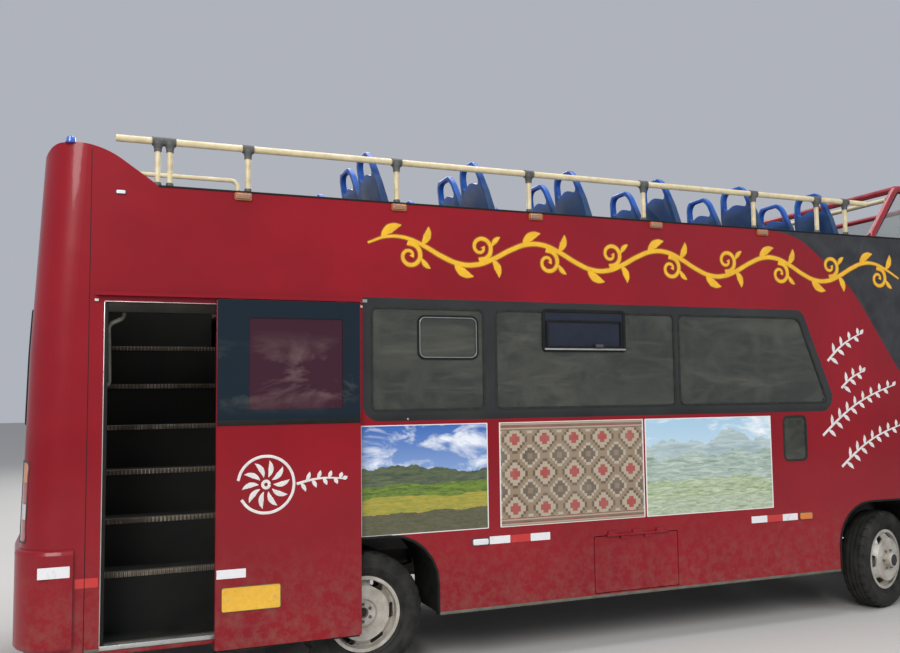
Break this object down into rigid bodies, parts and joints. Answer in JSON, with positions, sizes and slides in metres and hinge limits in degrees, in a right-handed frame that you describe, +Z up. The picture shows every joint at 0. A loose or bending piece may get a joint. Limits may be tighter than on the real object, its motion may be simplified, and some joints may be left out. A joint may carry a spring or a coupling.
{
  "type": "open top double decker bus",
  "caption": "Open-top double-decker bus with a sliding entry door, upper-deck seats behind guard rails and twin rear wheels.",
  "frame": {"origin": "on the road under the middle of the bus, halfway along its overall length", "axes": "+X forward, +Y to the bus's left, +Z up"},
  "size_m": [8.068, 2.7, 3.4667],
  "materials": {
    "red_paint": "gloss",
    "black_trim": "gloss",
    "tinted_glass": "polished",
    "clear_glass": "polished",
    "cream_paint": "satin",
    "chassis_black": "satin",
    "cast_grey": "rough",
    "wheel_silver": "satin",
    "tyre_rubber": "matte",
    "seat_blue": "satin",
    "saloon_seat": "woven",
    "floor_grey": "matte",
    "step_metal": "ribbed",
    "track_metal": "satin",
    "dash_plastic": "matte",
    "lamp_lens": "polished",
    "tail_lens": "polished",
    "exhaust_steel": "sooty",
    "socket_grey": "matte",
    "grab_grey": "satin"
  },
  "bodies": {
    "bus_body": {"chassis_frame": "chassis_black", "cross_members": "chassis_black", "towing_eyes": "chassis_black", "wheel_boxes": "floor_grey", "engine_cover": "floor_grey", "rail_sockets": "socket_grey", "entry_grab_rail": "grab_grey", "engine_block": "cast_grey", "front_axle_beam": "chassis_black", "rear_axle": "chassis_black", "leaf_springs": "chassis_black", "propeller_shaft": "chassis_black", "exhaust_pipe": "exhaust_steel", "fuel_tank": "chassis_black", "lower_floor": "floor_grey", "stairs": "step_metal", "right_lower_side": "red_paint", "right_window_frame": "black_trim", "right_upper_side": "red_paint", "left_lower_side": "red_paint", "left_window_frame": "black_trim", "left_upper_side": "red_paint", "side_windows": "tinted_glass", "rear_shell": "red_paint", "rear_window": "tinted_glass", "rear_bumper": "red_paint", "rear_lamps": "tail_lens", "front_shell": "red_paint", "windscreen": "clear_glass", "headlamps": "lamp_lens", "front_bumper": "red_paint", "upper_floor": "floor_grey", "front_hoop": "red_paint", "front_screen": "clear_glass", "guard_rails": "cream_paint", "upper_seats": "seat_blue", "lower_seats": "saloon_seat", "driver_seat": "saloon_seat", "dashboard": "dash_plastic", "steering_wheel": "dash_plastic", "door_mirrors": "black_trim", "entry_door_track": "track_metal"},
    "entry_door": {"entry_door": "red_paint", "entry_door_glass": "tinted_glass"},
    "driver_door": {"driver_door": "red_paint", "driver_door_glass": "tinted_glass"},
    "right_hatch": {"right_hatch": "red_paint"},
    "left_hatch": {"left_hatch": "red_paint"},
    "front_flap": {"front_flap": "red_paint"},
    "front_right_knuckle": {"front_right_knuckle": "cast_grey"},
    "front_left_knuckle": {"front_left_knuckle": "cast_grey"},
    "front_right_wheel": {"front_right_rim": "wheel_silver", "front_right_tyre": "tyre_rubber"},
    "front_left_wheel": {"front_left_rim": "wheel_silver", "front_left_tyre": "tyre_rubber"},
    "rear_right_wheels": {"rear_right_rims": "wheel_silver", "rear_right_tyres": "tyre_rubber"},
    "rear_left_wheels": {"rear_left_rims": "wheel_silver", "rear_left_tyres": "tyre_rubber"}
  },
  "joints": [
    {"name": "entry_door_slide", "type": "slide", "parent": "bus_body", "child": "entry_door", "axis": [-1, 0, 0], "range_m": [0, 0.657]},
    {"name": "driver_door_swing", "type": "hinge", "parent": "bus_body", "child": "driver_door", "pos_m": [3.46, 1.16, 1.3], "axis": [0, 0, -1], "range_deg": [0, 75]},
    {"name": "right_hatch_lift", "type": "hinge", "parent": "bus_body", "child": "right_hatch", "pos_m": [-0.0185, -1.16, 0.762], "axis": [-1, 0, 0], "range_deg": [0, 95]},
    {"name": "left_hatch_lift", "type": "hinge", "parent": "bus_body", "child": "left_hatch", "pos_m": [-0.0185, 1.16, 0.762], "axis": [1, 0, 0], "range_deg": [0, 95]},
    {"name": "front_flap_lift", "type": "hinge", "parent": "bus_body", "child": "front_flap", "pos_m": [3.995, 0, 1.17], "axis": [0, -1, 0], "range_deg": [0, 80]},
    {"name": "front_right_steer", "type": "hinge", "parent": "bus_body", "child": "front_right_knuckle", "pos_m": [2.33, -0.85, 0.3835], "axis": [0, 0, 1], "range_deg": [-46, 14]},
    {"name": "front_left_steer", "type": "hinge", "parent": "bus_body", "child": "front_left_knuckle", "pos_m": [2.33, 0.85, 0.3835], "axis": [0, 0, 1], "range_deg": [-46, 14]},
    {"name": "front_right_spin", "type": "hinge", "parent": "front_right_knuckle", "child": "front_right_wheel", "pos_m": [2.37135, -0.99419, 0.3835], "axis": [-0.2756, 0.9613, 0], "continuous": true},
    {"name": "front_left_spin", "type": "hinge", "parent": "front_left_knuckle", "child": "front_left_wheel", "pos_m": [2.28865, 0.99419, 0.3835], "axis": [-0.2756, 0.9613, 0], "continuous": true},
    {"name": "rear_right_spin", "type": "hinge", "parent": "bus_body", "child": "rear_right_wheels", "pos_m": [-2, -0.885, 0.3835], "axis": [0, 1, 0], "continuous": true},
    {"name": "rear_left_spin", "type": "hinge", "parent": "bus_body", "child": "rear_left_wheels", "pos_m": [-2, 0.885, 0.3835], "axis": [0, 1, 0], "continuous": true}
  ],
  "couplings": [
    {"joint": "front_left_steer", "follows": "front_right_steer", "ratio": 1}
  ]
}
